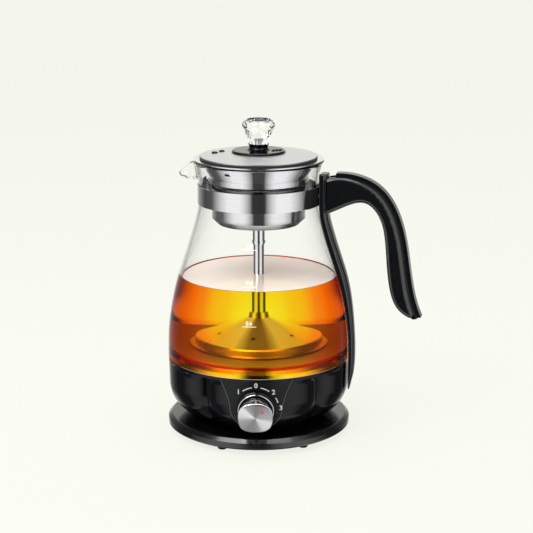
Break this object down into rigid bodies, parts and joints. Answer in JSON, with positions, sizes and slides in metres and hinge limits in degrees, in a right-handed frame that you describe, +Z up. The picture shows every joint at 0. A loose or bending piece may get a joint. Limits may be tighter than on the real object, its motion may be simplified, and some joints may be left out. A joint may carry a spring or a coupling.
{
  "type": "tea maker",
  "caption": "Electric spray tea maker: glass jug with steel filter insert, lid and heated foot, rotary control, side handle, on a round power base.",
  "frame": {"origin": "on the jug's vertical axis, in the plane that the rubber feet stand on", "axes": "+Z up along the jug's axis; the control panel and knob face -Y; +X is to the right when looking at the panel, where the handle is"},
  "size_m": [0.2062, 0.1668, 0.255],
  "materials": {
    "black_gloss": "polished moulded plastic",
    "handle_black": "semi-gloss moulded plastic",
    "panel_black": "polished moulded plastic with pad-printed scale",
    "black_plastic": "fine-textured moulded plastic",
    "rubber": "soft matt rubber",
    "silicone": "translucent silicone",
    "silicone_black": "satin silicone",
    "steel": "brushed stainless steel",
    "spun_metal": "radially spun, anodised",
    "zinc": "zinc plated",
    "dark_steel": "heat-darkened steel sheath",
    "aluminium": "cast aluminium",
    "contact_brass": "turned brass",
    "glass": "clear borosilicate glass",
    "crystal": "clear faceted acrylic",
    "marker_red": "enamel"
  },
  "bodies": {
    "power_base": {"base_cover": "black_gloss", "base_plate": "black_plastic", "base_feet": "rubber", "base_screws": "zinc", "cord_gland": "rubber", "male_connector": "black_plastic", "base_contacts": "contact_brass"},
    "coupler": {"connector_collar": "black_plastic"},
    "jug": {"female_connector": "black_plastic", "bottom_cover": "black_plastic", "housing_screws": "zinc", "control_panel": "panel_black", "lower_housing": "black_gloss", "dial_bezel": "black_gloss", "rotary_switch": "black_plastic", "heating_plate": "steel", "glass_seal": "silicone", "heat_spreader": "aluminium", "heating_element": "dark_steel", "thermostat": "zinc", "glass_jug": "glass", "neck_band": "steel", "clamp_block": "black_plastic", "clamp_screws": "zinc", "handle_spine": "handle_black", "handle_grip": "handle_black", "grip_rib": "black_gloss"},
    "knob": {"knob_cap": "spun_metal", "knob_core": "black_plastic", "knob_marker": "marker_red", "switch_shaft": "zinc"},
    "insert": {"basket_collar": "steel", "basket_cup": "steel", "basket_stub": "steel", "riser_tube": "steel", "spray_cap": "steel", "diffuser_cone": "steel"},
    "lid": {"lid_rim": "silicone_black", "lid_disc": "steel", "knob_base": "black_gloss", "crystal_knob": "crystal", "lid_screw": "zinc"}
  },
  "joints": [
    {"name": "jug_turn", "type": "hinge", "parent": "power_base", "child": "coupler", "pos_m": [0, 0, 0.0135], "axis": [0, 0, 1], "continuous": true},
    {"name": "jug_lift", "type": "slide", "parent": "coupler", "child": "jug", "axis": [0, 0, 1], "range_m": [0, 0.06]},
    {"name": "knob_turn", "type": "hinge", "parent": "jug", "child": "knob", "pos_m": [0, -0.0735, 0.0384], "axis": [0, -0.9925, -0.1219], "range_deg": [-45, 90]},
    {"name": "insert_lift", "type": "slide", "parent": "jug", "child": "insert", "axis": [0, 0, 1], "range_m": [0, 0.165]},
    {"name": "lid_lift", "type": "slide", "parent": "insert", "child": "lid", "axis": [0, 0, 1], "range_m": [0, 0.06]}
  ]
}
